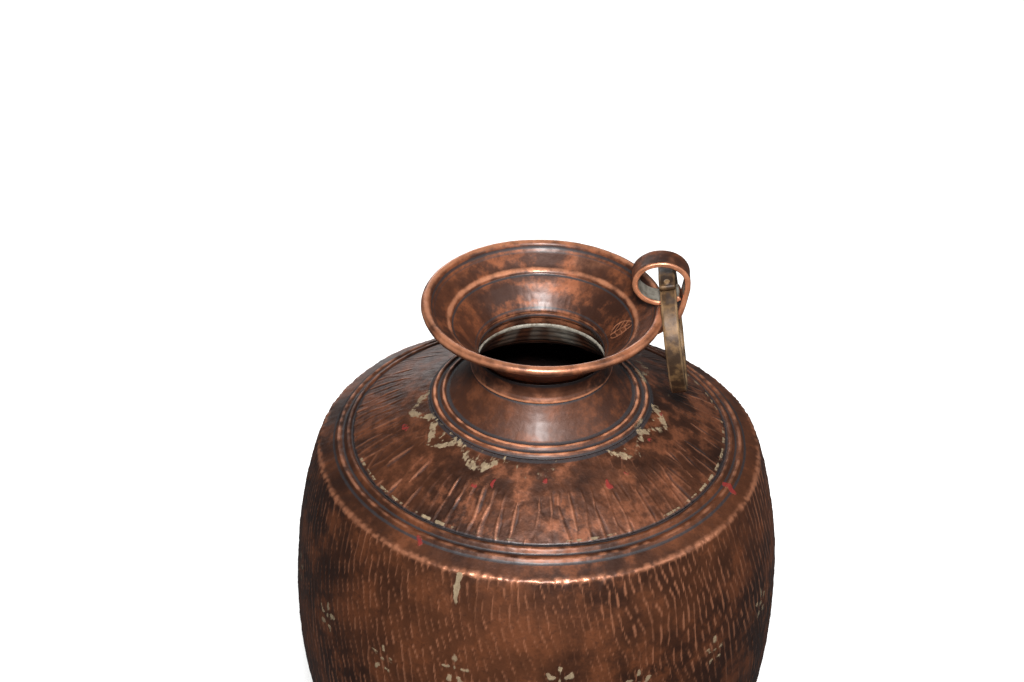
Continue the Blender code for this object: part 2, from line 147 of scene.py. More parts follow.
def copperFinish(name, look):
    f = Finish(name)
    crest, hollow, cream, red, tin = (f.mark(key) for key in ("crest", "hollow", "cream", "red", "tin"))
    patch = f.noise(look["patchSize"], 3)
    cloud = f.noise(look["cloudSize"], 5, 0.6)
    grain = f.noise(3.2, 6, 0.65)
    fleck = f.noise(1.1, 3, 0.6)
    colour = f.mix(f.ramp(patch * 0.6 + cloud * 0.4, 0.40, 0.60), look["dark"], look["ground"])
    colour = f.mix(f.ramp(cloud * 0.7 + grain * 0.3, 0.48, 0.62) * look["warmShare"], colour, look["warm"])
    colour = f.mix(f.ramp(grain * 0.65 + fleck * 0.35, 0.50, 0.66) * 0.55, colour, look["dark"])
    # crest brightening: worn copper on raised marks and edges, and a painted highlight on the barrel's
    # corner line and the ring's lower face
    crestBrightening = f.ramp(crest * (0.45 + grain * 1.1), look["crestFrom"], look["crestTo"])
    colour = f.mix(crestBrightening * look["crestShare"], colour, look["bright"])
    # painted shade and grime: this mask darkens grooves, creases, corners under parts and inner skins toward
    # near-black
    shadeGrimeAmount = f.ramp(hollow * (0.5 + grain), 0.15, 0.75)
    colour = f.mix(shadeGrimeAmount * 0.92, colour, shadeGrimeTone)
    stain = f.ramp(cloud * 0.5 + grain * 0.5, 0.42, 0.62)
    tinned = f.ramp(tin * (0.6 + grain * 0.8), 0.25, 0.55)
    colour = f.mix(tinned, colour, f.mix(stain, tinGrey, tinStain))
    chalk = cream * (grain * 1.2 + fleck * 0.95)
    painted = f.ramp(chalk, 0.48, 0.80) * 0.88
    colour = f.mix(painted, colour, f.mix(f.ramp(grain, 0.38, 0.62), creamPaint, tone(0.20, 0.145, 0.085)))
    daubed = f.ramp(red * (grain * 1.4 + fleck * 0.8), 0.48, 0.80) * 0.85
    colour = f.mix(daubed, colour, redPaint)
    covered = f.ramp(painted + daubed, 0.0, 1.0)
    rough = (look["rough"] + (cloud - 0.5) * 0.30 + (grain - 0.5) * 0.25 - crestBrightening * 0.14
             + covered * 0.35 + shadeGrimeAmount * 0.10)
    metal = look["metal"] * (1 - covered) * (1 - shadeGrimeAmount * 0.4)
    height = cloud * 0.9 + grain * 0.75 + fleck * 0.18 + covered * 0.5
    f.shader.inputs["Coat Weight"].default_value = look["coat"]
    f.shader.inputs["Coat Roughness"].default_value = look["coatRough"]
    return f.done(colour, rough, metal, height, look["depth"])


print("shader tools ready")


def wavy(a, b, seed, wrap=0):
    # smooth random values from -1 to 1 over cells one unit wide, closed after wrap cells
    ia, ib = np.floor(a).astype(int), np.floor(b).astype(int)
    fa, fb = a - ia, b - ib
    fa, fb = fa * fa * (3 - 2 * fa), fb * fb * (3 - 2 * fb)
    ia, ib = ia - (0 if wrap else ia.min()), ib - ib.min()
    across = wrap or ia.max() + 2
    grid = np.random.default_rng(seed).uniform(-1, 1, (across, ib.max() + 2))
    near = grid[ia % across, ib] * (1 - fb) + grid[ia % across, ib + 1] * fb
    far = grid[(ia + 1) % across, ib] * (1 - fb) + grid[(ia + 1) % across, ib + 1] * fb
    return near * (1 - fa) + far * fa


def refined(points, step):
    # the same line with a point at least every step
    out = [points[0]]
    for (r0, z0), (r1, z1) in zip(points, points[1:]):
        count = max(1, ceil(sqrt((r1 - r0) ** 2 + (z1 - z0) ** 2) / step))
        out += [(r0 + (r1 - r0) * k / count, z0 + (z1 - z0) * k / count) for k in range(1, count + 1)]
    return out


def eased(points, reach, steps=4):
    # rounds each inner corner, starting up to reach before it
    out = [points[0]]
    for before, corner, after in zip(points, points[1:], points[2:]):
        corner = Vector(corner)
        toBefore, toAfter = Vector(before) - corner, Vector(after) - corner
        start = corner + toBefore.normalized() * min(reach, toBefore.length * 0.45)
        end = corner + toAfter.normalized() * min(reach, toAfter.length * 0.45)
        for k in range(steps + 1):
            t = k / steps
            out.append(tuple(start * (1 - t) ** 2 + corner * 2 * t * (1 - t) + end * t * t))
    return out + [points[-1]]


class Sheet:
    # a turned mesh and, for every point of it, where it is on the sheet
    def __init__(self, name, outer, inner, columns):
        bm = bmesh.new()
        along, skin = (bm.verts.layers.float.new(key) for key in ("along", "skin"))
        ring, walked = [], 0.0
        for k, (radius, height) in enumerate(outer + inner):
            vert = bm.verts.new((radius * mm, 0, height * mm))
            if 0 < k < len(outer):
                walked += sqrt((radius - outer[k - 1][0]) ** 2 + (height - outer[k - 1][1]) ** 2)
            vert[along] = walked
            vert[skin] = 1.0 if k < len(outer) else 0.0
            ring.append(vert)
        closed = ring[0].co.x > 0 or ring[-1].co.x > 0
        edges = [bm.edges.new((a, b)) for a, b in zip(ring, ring[1:] + ring[:1] if closed else ring[1:])]
        # a twelfth is spun first and then repeated round the axis, which is far quicker
        around = {"cent": (0, 0, 0), "axis": (0, 0, 1)}
        bmesh.ops.spin(bm, geom=ring + edges, angle=pi / 6, steps=columns // 12, **around)
        bmesh.ops.spin(bm, geom=bm.verts[:] + bm.edges[:] + bm.faces[:], angle=pi * 11 / 6, steps=11,
                       use_duplicate=True, **around)
        bmesh.ops.remove_doubles(bm, verts=bm.verts, dist=0.002 * mm)
        bmesh.ops.recalc_face_normals(bm, faces=bm.faces)
        self.mesh = bpy.data.meshes.new(name)
        bm.to_mesh(self.mesh)
        bm.free()
        self.mesh.shade_smooth()
        self.name = name
        self.measure()

    def read(self, items, key, width=1):
        values = np.empty(len(items) * width)
        items.foreach_get(key, values)
        return values.reshape(-1, width) if width > 1 else values

    def measure(self):
        self.points = self.read(self.mesh.vertices, "co", 3) / mm
        self.normals = self.read(self.mesh.vertex_normals, "vector", 3)
        self.radius = np.hypot(self.points[:, 0], self.points[:, 1])
        self.height = self.points[:, 2]
        self.angle = np.arctan2(self.points[:, 1], self.points[:, 0])
        self.turn = (np.degrees(self.angle - frontAngle) + 180) % 360 - 180  # 0 at the front
        self.along = self.read(self.mesh.attributes["along"].data, "value")
        self.skin = self.read(self.mesh.attributes["skin"].data, "value")

    def lift(self, amount):
        # moves the points out along their normals
        moved = (self.points + self.normals * amount[:, None]) * mm
        self.mesh.vertices.foreach_set("co", moved.ravel())
        self.mesh.update()

    def cloud(self, size, seed):
        # soft random values about size mm wide
        reach = self.radius.max()
        wrap = max(4, round(2 * pi * reach / size))
        return wavy(self.angle / (2 * pi) * wrap, self.along / size, seed, wrap)

    def rings(self, places):
        # a soft mask round each (radius, height, width, strength)
        mask = np.zeros(len(self.radius))
        for radius, height, width, strength in places:
            away = np.hypot(self.radius - radius, self.height - height) / width
            value = strength * np.exp(-away ** 2)
            mask = np.where(np.abs(value) > np.abs(mask), value, mask)
        return mask

    def finish(self, material, body, nodes, slotName, **masks):
        for key in ("crest", "hollow", "cream", "red", "tin"):
            values = np.clip(masks.get(key, np.zeros(len(self.radius))), 0, 1)
            layer = self.mesh.attributes.new(key, "FLOAT", "POINT")
            layer.data.foreach_set("value", values.astype(np.float32))
        self.mesh.materials.append(material)
        obj = bpy.data.objects.new(self.name, self.mesh)
        bpy.context.collection.objects.link(obj)
        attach(obj, body)
        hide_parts(*nodes)
        print("  %s: %d faces" % (self.name, len(self.mesh.polygons)))
        return obj


def step(value, low, high):
    t = np.clip((value - low) / (high - low), 0, 1)
    return t * t * (3 - 2 * t)


def hammerCells(a, b, wide, tall, jitter, seed, wrap):
    # planishing marks: cells wide by tall mm, a and b counted in cells, closed after wrap cells
    rng = np.random.default_rng(seed)
    low = int(np.floor(b.min())) - 3
    shape = (wrap, int(np.ceil(b.max())) + 4 - low)
    moveA, moveB, kind = (rng.uniform(-0.5, 0.5, shape) for _ in range(3))
    ia, ib = np.floor(a).astype(int), np.floor(b).astype(int)
    best = np.full((2, len(a)), 1e9)
    spots = np.zeros((2, 3, len(a)))
    for da in range(-2, 3):
        for db in range(-2, 3):
            column, row = (ia + da) % wrap, ib + db
            spot = np.array((ia + da + 0.5 + moveA[column, row - low] * jitter,
                             row + 0.5 + (column % 4) * 0.25 + moveB[column, row - low] * jitter,
                             kind[column, row - low]))
            away = (a - spot[0]) ** 2 + (b - spot[1]) ** 2
            first = away < best[0]
            second = ~first & (away < best[1])
            best[1] = np.where(first, best[0], np.where(second, away, best[1]))
            spots[1] = np.where(first, spots[0], np.where(second, spot, spots[1]))
            best[0] = np.where(first, away, best[0])
            spots[0] = np.where(first, spot, spots[0])
    acrossA, acrossB = spots[1][0] - spots[0][0], spots[1][1] - spots[0][1]
    apart = np.hypot(acrossA, acrossB)
    normalA, normalB = acrossA / apart / wide, acrossB / apart / tall
    steep = np.hypot(normalA, normalB)
    return {
        "edge": (best[1] - best[0]) / 2 / apart / steep,  # mm to the nearest edge of the cell
        "lean": acrossB / acrossA, "upright": np.abs(normalA) / steep, "side": -np.sign(normalA),
        "chance": ((spots[0][2] + spots[1][2] + 1) * 7.31) % 1,
        "a": a - spots[0][0], "b": b - spots[0][1], "kind": spots[0][2] * 2,
    }


print("sheet tools ready")


# the wall's line, shared by the pan and the barrel
bodyShape = {
    "widest": 185.0, "widestAt": 224.0, "base": 118.0, "corner": 167.5, "cornerAt": 350.0,
    "lowerCurve": 2.1, "upperCurve": 2.35, "seam": 62.3,
}
hammering = {
    "wide": 6.3, "tall": 15.5, "slant": 0.17, "jitter": 0.50, "reach": 181,
    "crestWidth": 1.15, "crestHeight": 0.44, "tilt": 0.24, "columns": 1020, "seed": 5,
}
wallLook = {
    "patchSize": 75, "cloudSize": 16, "warmShare": 0.7, "crestFrom": 0.14, "crestTo": 0.85,
    "crestShare": 0.80, "rough": 0.50, "metal": 0.55, "depth": 0.45, "coat": 0.22, "coatRough": 0.34,
    "dark": tone(0.040, 0.014, 0.007), "ground": tone(0.128, 0.042, 0.017),
    "warm": tone(0.215, 0.066, 0.024), "bright": tone(0.50, 0.20, 0.105),
}
hammeredCopper = copperFinish("hammeredCopper", wallLook)


def wallRadius(height):
    s = bodyShape
    if height < s["widestAt"]:
        return s["widest"] - (s["widest"] - s["base"]) * (1 - height / s["widestAt"]) ** s["lowerCurve"]
    share = (height - s["widestAt"]) / (s["cornerAt"] - s["widestAt"])
    return s["widest"] - (s["widest"] - s["corner"]) * share ** s["upperCurve"]


def wallLine(low, high, pace):
    count = max(2, ceil((high - low) / pace))
    heights = [low + (high - low) * k / count for k in range(count + 1)]
    return [(wallRadius(height), height) for height in heights]


def hammered(sheet, reach):
    # long upright hammer marks round the wall
    h = hammering
    wrap = 4 * round(pi * h["reach"] / h["wide"] / 2)
    a = sheet.angle / (2 * pi) * wrap + sheet.height * h["slant"] / h["wide"]
    a = a + wavy(sheet.angle / (2 * pi) * 24, sheet.height / 45, 3, 24) * 0.9
    cells = hammerCells(a, sheet.height / h["tall"], h["wide"], h["tall"], h["jitter"], h["seed"], wrap)
    crest = cells["upright"] ** 2 * np.exp(-(cells["edge"] / h["crestWidth"]) ** 2)
    crest = crest * (0.62 + 0.38 * cells["chance"]) * step(cells["lean"], -0.85, -0.45)
    lean = h["tilt"] * (cells["a"] * cells["kind"] * 1.6 + cells["b"] * 0.9)
    fresh = 0.82 + 0.30 * sheet.cloud(55, 4)
    return (crest * h["crestHeight"] + lean) * reach, crest * reach * fresh


motifs = {
    "turns": [-57.5, -37, -18, 6.2, 25, 46.8, 68, 90, 112, 134, 156, 178, -160, -138, -118, -98, -78],
    "height": 272.0, "reach": 184,
    "drop": 14, "highWithin": 28,  # those further than highWithin degrees from the front sit lower by drop
    # one plain rosette of dabs: across, up, half width, half height, lean
    "dabs": [(0, 0, 2.4, 2.4, 0)] + [(7.6 * sin(radians(t)), 9.4 * cos(radians(t)), 2.6, 4.6, -t)
                                     for t in range(0, 360, 72)],
}


def dab(sheet, turn, height, dabs, reach):
    across = ((sheet.turn - turn + 180) % 360 - 180) * pi / 180 * reach
    mask = np.zeros(len(across))
    across, up = across + sheet.cloud(6, 24) * 1.1, sheet.height - height + sheet.cloud(6, 25) * 1.1
    for x, z, wide, tall, lean in dabs:
        c, s = cos(radians(lean)), sin(radians(lean))
        away = np.hypot(((across - x) * c + (up - z) * s) / wide, ((up - z) * c - (across - x) * s) / tall)
        mask = np.maximum(mask, 1 - step(away, 0.5, 1.3))
    return mask


barrel = {
    "fineFrom": 190, "wallTop": 346.6,  # the wall's rows are closer above fineFrom
    "corner": [(167.3, 349.9), (163.4, 351.9)], "cornerAt": 349.6,
    "over": [(163.4, 351.9), (156.2, 355.7), (154.8, 356.6), (153.3, 358.9), (151.8, 359.4),
             (150.3, 358.9), (148.6, 358.9), (147.6, 359.3), (146.2, 362.1), (144.6, 362.9),
             (143.2, 362.5), (141.9, 361.7), (141.3, 362.1)],
    "inside": [(140.7, 361.6), (163.0, 350.3), (166.8, 346.0), (179.3, 292), (183.3, 238), (172.8, 130),
               (149.8, 62.5)],
    # radius, height, half width and strength of each raised line and of the painted shade in the groove
    # beside it
    "bright": [(151.8, 359.4, 1.5, 0.85), (144.6, 362.9, 1.4, 0.75)],
    "dark": [(155.3, 356.2, 1.2, 1.0), (148.2, 358.9, 1.2, 1.0), (141.5, 361.8, 1.1, 0.9)],
    # turn, height, dabs and the radius there: a dribble of cream below the corner, red daubs on top
    "dribble": (-19.2, 336.0, [(0, 0, 2.6, 13, 2), (0.6, 12, 3.4, 3.0, 0)], 171),
    "redDaub": (67.9, 357.5, [(0, 0, 3.2, 3.4, 30)], 152),
    "faintDaub": (-33, 357.0, [(0, 0, 4.6, 2.2, -20)], 152),
}


def bodyBarrel():
    s, b = bodyShape, barrel
    wall = wallLine(s["seam"], b["fineFrom"], 7.4)[:-1] + wallLine(b["fineFrom"], b["wallTop"], 3.9)
    corner = eased([wall[-1]] + b["corner"], 2.6, 4)[1:]
    over = eased(b["over"], 0.8, 1)
    sheet = Sheet("body_barrel_shell", wall + corner + over[1:], b["inside"], hammering["columns"])
    onWall = sheet.skin * (1 - step(sheet.height, 348.5, 351)) * (0.35 + 0.65 * step(sheet.height, 64, 72))
    lift, crest = hammered(sheet, onWall)
    cornerLine = np.exp(-((sheet.height - b["cornerAt"]) / 1.9) ** 2) * sheet.skin
    top = sheet.skin * step(sheet.height, 350.5, 352.5)
    lift += sheet.cloud(42, 11) * 0.35 * sheet.skin + sheet.cloud(13, 12) * 0.12 * sheet.skin
    lift += cornerLine * (sheet.cloud(5.2, 13) * 0.30 + sheet.cloud(3.1, 17) * 0.24)
    lift += top * (sheet.cloud(7, 14) * 0.16 + sheet.cloud(3.4, 15) * 0.07)
    sheet.lift(lift)
    crest = np.maximum(crest, sheet.rings(b["bright"]) * (0.65 + 0.5 * sheet.cloud(6, 21)))
    # a bright line painted round the corner: partly worn edge, partly a painted highlight of the rounded
    # corner
    crest = np.maximum(crest, cornerLine * (0.60 + 0.45 * sheet.cloud(3.0, 22) + 0.30 * sheet.cloud(30, 23)))
    cream = dab(sheet, *b["dribble"])
    for k, turn in enumerate(motifs["turns"]):
        low = abs((turn + 5 + 180) % 360 - 180) > motifs["highWithin"]
        kept = 1.0 if k % 3 == 0 else 0.8
        painted = dab(sheet, turn, motifs["height"] - motifs["drop"] * low, motifs["dabs"], motifs["reach"])
        cream = np.maximum(cream, painted * kept)
    red = np.maximum(dab(sheet, *b["redDaub"]), dab(sheet, *b["faintDaub"]) * 0.7)
    # painted shade in the grooves by the seam and over the inside of the wall
    hollow = np.maximum(sheet.rings(b["dark"]), (1 - sheet.skin) * 0.6)
    sheet.finish(hammeredCopper, "pot", ["body_barrel"], "hammered_copper", crest=crest,
                 hollow=hollow, cream=cream * sheet.skin, red=red * sheet.skin)


pan = {
    "columns": 720, "footTop": 13, "wallTop": 61.0,
    "foot": [(0, 0), (112.0, 0.0), (119.6, 2.7), (123.4, 8.0)],
    "inside": [(153.9, 77.2), (147.3, 61.6), (133.2, 29.1), (121.0, 6.6), (111.8, 1.5), (0, 1.5)],
    "scuff": [(114.5, 0.7, 6.0, 0.7)],
}


def basePan():
    foot = eased(pan["foot"] + [(wallRadius(pan["footTop"]), pan["footTop"])], 5, 5)
    outer = refined(foot, 9)[:-1] + wallLine(pan["footTop"], pan["wallTop"], 3.2)
    lap = eased([outer[-1], (wallRadius(61.8) - 0.2, 61.8), (wallRadius(63) - 2.1, 63.2),
                 (wallRadius(76.7) - 1.9, 76.7)], 0.9, 2)[1:]  # the part inside the barrel
    sheet = Sheet("base_pan_shell", outer + lap, pan["inside"], pan["columns"])
    onWall = sheet.skin * step(sheet.height, 9, 22) * (1 - step(sheet.height, 58, 61))
    lift, crest = hammered(sheet, onWall)
    under = sheet.skin * (1 - step(sheet.height, 0.2, 2.5)) * (1 - step(sheet.radius, 96, 110))
    lift += sheet.cloud(40, 31) * 0.25 * onWall + under * (sheet.cloud(17, 32) * 0.25 - 0.45)
    sheet.lift(lift)
    scuffed = sheet.rings(pan["scuff"]) * (0.6 + 0.5 * sheet.cloud(9, 33))
    # darkened along the seam with the barrel; painted shade over the inside
    seam = sheet.rings([(wallRadius(61.8), 61.8, 1.6, 1.0)])
    sheet.finish(hammeredCopper, "pot", ["base_pan"], "hammered_copper",
                 crest=np.maximum(crest, scuffed), hollow=np.maximum(seam, (1 - sheet.skin) * 0.6))


bodyBarrel()
basePan()
print("body made")


shoulder = {
    "columns": 1200, "seamRadius": 141.0, "footRadius": 83.2,
    "line": [(141.0, 362.8), (129.5, 370.2), (118.1, 376.8), (106.5, 383.1), (94.9, 389.15), (83.0, 394.9),
             (69.5, 398.95)],
    "inside": [(69.1, 397.5), (82.4, 393.5), (105.8, 381.8), (128.7, 368.9), (139.7, 361.7)],
    "streakWide": 9.4, "streakTall": 34, "streakHeight": 0.42, "fineWide": 8.5,
    "petals": 14, "petalTurn": -3.4, "petalTip": 97.5, "petalBase": 84.0, "petalLine": 2.3,
    # how much paint each petal has kept, from the front petal on to the right
    "petalPaint": [0.55, 0.30, 0.80, 0.85, 0.50, 0.70, 0.45, 0.75, 0.50, 0.65, 0.40, 0.95, 1.0, 0.80],
    "dashes": 62, "dashLine": 139.0,
    # turn, radius, half width, half length of each red daub
    "daubs": [(-73.7, 104.5, 7, 3.2), (-18.5, 103.4, 2.2, 4.6), (29.0, 106.5, 3.4, 5.4), (38, 103, 5, 2.2),
              (82, 91.5, 3.5, 2), (61.3, 93.2, 3, 2.4), (-25.5, 108, 3.0, 2.6), (2.9, 97, 2.4, 3.5),
              (150, 110, 6, 3), (-140, 118, 4, 4)],
}
shoulderLook = {
    "patchSize": 60, "cloudSize": 9, "warmShare": 0.95, "crestFrom": 0.16, "crestTo": 0.85,
    "crestShare": 0.70, "rough": 0.50, "metal": 0.55, "depth": 0.55, "coat": 0.22, "coatRough": 0.34,
    "dark": tone(0.034, 0.012, 0.006), "ground": tone(0.115, 0.038, 0.016),
    "warm": tone(0.235, 0.078, 0.034), "bright": tone(0.52, 0.215, 0.12),
}
shoulderCopper = copperFinish("shoulderCopper", shoulderLook)


def zigzag(sheet):
    # chalky outline of pointed petals round the neck
    s = shoulder
    each = 360 / s["petals"]
    radius = sheet.radius + sheet.cloud(5, 52) * 1.0
    count = (sheet.turn + sheet.cloud(6, 53) * 1.0 - s["petalTurn"]) / each + 0.5
    part = np.abs(count % 1 - 0.5) * 2
    paint = np.array(s["petalPaint"])[np.floor(count).astype(int) % s["petals"]]
    line = s["petalTip"] - (s["petalTip"] - s["petalBase"]) * part
    away = np.abs(radius - line) * 0.78
    inside = step(line - radius, 0, 2.5) * (0.50 + 0.35 * sheet.cloud(2.6, 54))
    edge = 1 - step(away, s["petalLine"] * 0.6, s["petalLine"] * 2.0)
    patchy = 0.72 + 0.35 * sheet.cloud(7, 41) + 0.30 * sheet.cloud(2.2, 55)
    return np.maximum(edge, inside) * paint * patchy


def shoulderPlate():
    s = shoulder
    outer = refined([(141.0, 361.6)] + eased(s["line"], 5, 4), 1.6)
    sheet = Sheet("shoulder_plate_shell", outer, s["inside"], s["columns"])
    wrap = 4 * round(pi * 130 / s["streakWide"] / 2)
    a = sheet.angle / (2 * pi) * wrap + sheet.cloud(60, 42) * 0.25
    b = (140 - sheet.radius) / s["streakTall"] - 0.25
    cells = hammerCells(a, b, s["streakWide"], s["streakTall"], 0.55, 43, wrap)
    reach = sheet.skin * step(sheet.radius, 101, 112) * (0.25 + 0.75 * cells["chance"])
    off = cells["edge"] * cells["side"]
    ridge = cells["upright"] ** 2 * np.exp(-((off + 0.7) / 1.35) ** 2) * reach
    furrow = cells["upright"] ** 2 * np.exp(-((off - 1.9) / 1.7) ** 2) * reach
    wide = s["fineWide"]
    wrapFine = 4 * round(pi * 110 / wide / 2)
    fine = hammerCells(sheet.angle / (2 * pi) * wrapFine, sheet.radius / wide, wide, wide, 0.9, 44, wrapFine)
    soft = 1 - np.exp(-(fine["edge"] / 2.2) ** 2)
    lift = s["streakHeight"] * (ridge - furrow * 0.9) - 0.10 * soft * sheet.skin
    uneven = sheet.cloud(30, 45) * 0.35 + sheet.cloud(9, 46) * 0.14 + sheet.cloud(3.6, 48) * 0.05
    sheet.lift(lift + sheet.skin * uneven)
    dash = (sheet.angle / (2 * pi) * s["dashes"] + sheet.cloud(22, 49) * 0.45) % 1
    dashes = 1 - step(np.abs(dash - 0.5) + sheet.cloud(15, 57) * 0.13, 0.26, 0.46)
    dashes = dashes * np.exp(-((sheet.radius - s["dashLine"]) / 1.45) ** 2)
    kept = 0.50 + 0.22 * np.cos(np.radians(sheet.turn - 22))  # most paint is left right of the front
    kept = kept + 0.38 * sheet.cloud(24, 50) + 0.2 * sheet.cloud(3, 58)
    cream = np.maximum(zigzag(sheet), dashes * np.clip(kept, 0.15, 1.1))
    red = np.zeros(len(cream))
    for turn, radius, wide, tall in s["daubs"]:
        across = ((sheet.turn - turn + 180) % 360 - 180) * pi / 180 * radius
        away = np.hypot(across / wide, (sheet.radius - radius) / tall)
        red = np.maximum(red, 1 - step(away, 0.1, 1.5))
    red *= 0.80 + 0.55 * sheet.cloud(2.4, 56)
    fineCrest = 0.42 * np.exp(-(fine["edge"] / 1.0) ** 2) * step(sheet.cloud(25, 51), -0.1, 0.9)
    # painted shade: in the furrow beside each streak, in the seam groove and the foot groove, and over the
    # inside
    hollow = np.maximum(furrow * 0.55, 0.8 * np.exp(-((sheet.radius - s["seamRadius"]) / 1.1) ** 2))
    hollow = np.maximum(hollow, np.exp(-((sheet.radius - s["footRadius"]) / 1.6) ** 2))
    hollow = np.maximum(hollow, (1 - sheet.skin) * 0.6)
    sheet.finish(shoulderCopper, "pot", ["shoulder_plate"], "patinated_copper",
                 crest=np.maximum(ridge * 0.72, fineCrest), hollow=hollow,
                 cream=cream * sheet.skin, red=red * sheet.skin)


shoulderPlate()
print("shoulder made")


smoothLook = {
    "patchSize": 45, "cloudSize": 9, "warmShare": 0.95, "crestFrom": 0.18, "crestTo": 0.80,
    "crestShare": 0.92, "rough": 0.50, "metal": 0.50, "depth": 0.30, "coat": 0.34, "coatRough": 0.30,
    "dark": tone(0.055, 0.020, 0.011), "ground": tone(0.150, 0.050, 0.022),
    "warm": tone(0.270, 0.084, 0.032), "bright": tone(0.66, 0.27, 0.14),
}
smoothCopper = copperFinish("smoothCopper", smoothLook)

neckLook = dict(
    smoothLook, ground=tone(0.082, 0.025, 0.009), warm=tone(0.15, 0.046, 0.017), metal=0.30, rough=0.56,
    coat=0.17, depth=0.5)
neckCopper = copperFinish("neckCopper", neckLook)

neck = {
    "columns": 648, "pace": 1.15,
    "line": [(83.0, 396.6), (81.9, 397.0), (80.6, 398.5), (79.6, 398.95), (78.6, 398.8), (77.3, 398.0),
             (75.3, 398.7), (74.1, 400.5), (73.0, 400.95), (72.0, 400.8), (70.7, 399.9), (69.2, 400.2),
             (67.8, 401.2), (63.1, 406.6), (58.7, 412.1), (54.7, 418.0), (51.1, 424.1), (48.7, 428.6),
             (47.9, 429.2), (47.1, 428.6)],
    "inside": [(47.2, 426.5), (49.8, 422.8), (53.5, 417.1), (57.5, 411.2), (61.9, 405.6), (66.9, 400.0),
               (82.4, 395.3)],
    "bright": [(79.6, 399.0, 1.5, 0.85), (73.0, 401.0, 1.5, 0.85)],
    # painted shade in the grooves at the neck's foot and under the collar's flare
    "dark": [(82.6, 396.8, 1.2, 1.0), (76.4, 398.1, 1.3, 1.0), (69.4, 400.1, 1.5, 1.0),
             (51.6, 423.4, 1.5, 0.8)],
}
collar = {
    "columns": 480, "pace": 0.9,
    "line": [(51.7, 424.7), (52.5, 424.6), (53.0, 425.2), (52.4, 426.8), (51.2, 429.0), (50.55, 432.5),
             (50.5, 438.9), (50.1, 439.5), (49.3, 439.5)],
    "inside": [(49.05, 439.0), (49.05, 432.3), (49.7, 428.4), (51.4, 425.0)],
    "bright": [(52.9, 425.3, 1.5, 1.0)],
    # painted shadow under the funnel at the collar's top, and faint painted shade in its lower crease
    "dark": [(50.8, 438.6, 1.8, 0.9), (51.4, 428.3, 1.0, 0.35)],
}
mouth = {
    "columns": 720, "pace": 1.15,
    "line": [(46.9, 434.9), (46.6, 435.5), (46.6, 437.6), (47.5, 438.9), (47.3, 440.6), (51.4, 445.9),
             (56.6, 451.6), (62.0, 457.0), (66.2, 460.6), (67.2, 461.2), (68.0, 462.9), (70.6, 465.0),
             (80.0, 472.9), (82.0, 475.3)],
    "roll": (86.25, 476.06, 3.75), "rollFrom": 172, "rollTo": -126, "rollSheet": 1.35,
    "under": [(83.9, 473.9), (83.2, 474.0), (81.3, 472.1), (68.7, 461.0), (63.0, 455.9), (57.7, 450.5),
              (52.6, 444.9), (48.1, 439.3), (48.1, 434.9)],
    "bright": [(86.3, 479.8, 3.0, 0.95), (89.6, 477.6, 2.4, 0.8), (69.4, 464.0, 2.4, 0.85),
               (47.5, 439.6, 0.9, 0.7)],
    # painted shade at the foot of the rolled rim, in the crease and in the throat
    "dark": [(82.3, 475.9, 1.2, 1.0), (66.6, 460.7, 0.9, 1.0), (48.9, 442.7, 1.0, 0.75),
             (46.6, 437.2, 1.1, 0.9), (80.2, 473.0, 1.0, 0.5)],
    "crease": (69.4, 464.0, 2.6, 0.30),
}


def smoothSheet(name, spec, outer, inner, seed):
    # planished copper: soft shallow marks and a hand-made waviness
    sheet = Sheet(name, outer, inner, spec["columns"])
    wrap = 4 * round(pi * sheet.radius.mean() / 8 / 2)
    cells = hammerCells(sheet.angle / (2 * pi) * wrap, sheet.along / 8, 8, 8, 0.9, seed, wrap)
    lift = -0.045 * (1 - np.exp(-(cells["edge"] / 2.4) ** 2))
    lift += sheet.cloud(24, seed + 1) * 0.22 + sheet.cloud(8, seed + 2) * 0.07
    lift += sheet.cloud(3.2, seed + 3) * 0.025
    return sheet, lift


def neckCone():
    outer = refined(eased(neck["line"], 0.9, 2), neck["pace"])
    sheet, lift = smoothSheet("neck_cone_shell", neck, outer, refined(neck["inside"], 1.6), 61)
    inside = 1 - sheet.skin
    lift += inside * 0.22 * np.sin(sheet.height * 2 * pi / 7.5 + sheet.cloud(40, 66) * 0.6)
    sheet.lift(lift)
    lip = np.exp(-((sheet.height - 428.4) / 2.6) ** 2) * (sheet.radius < 49.2)
    crest = sheet.rings(neck["bright"]) * (0.75 + 0.4 * sheet.cloud(7, 67))
    cream = np.exp(-((sheet.radius - 80.6) / 3.4) ** 2) * sheet.skin
    cream *= step(sheet.cloud(22, 68), 0.0, 0.8) * 0.8
    cream *= 1 - step(np.cos(np.radians(sheet.turn)), 0.55, 0.95)
    lining = inside * (0.34 + 0.25 * sheet.cloud(12, 69)) * step(sheet.height, 399, 403)
    sheet.finish(neckCopper, "pot", ["neck_cone"], "patinated_copper", crest=crest,
                 hollow=sheet.rings(neck["dark"]), cream=cream, tin=np.maximum(lip, lining))


def collarBand():
    outer = refined(eased(collar["line"], 0.6, 3), collar["pace"])
    sheet, lift = smoothSheet("collar_band_shell", collar, outer, refined(collar["inside"], 2.5), 71)
    sheet.lift(lift * 0.7)
    crest = sheet.rings(collar["bright"]) * (0.8 + 0.35 * sheet.cloud(5, 76))
    sheet.finish(wornCopper, "pot", ["collar_band"], "worn_copper", crest=crest,
                 hollow=sheet.rings(collar["dark"]))


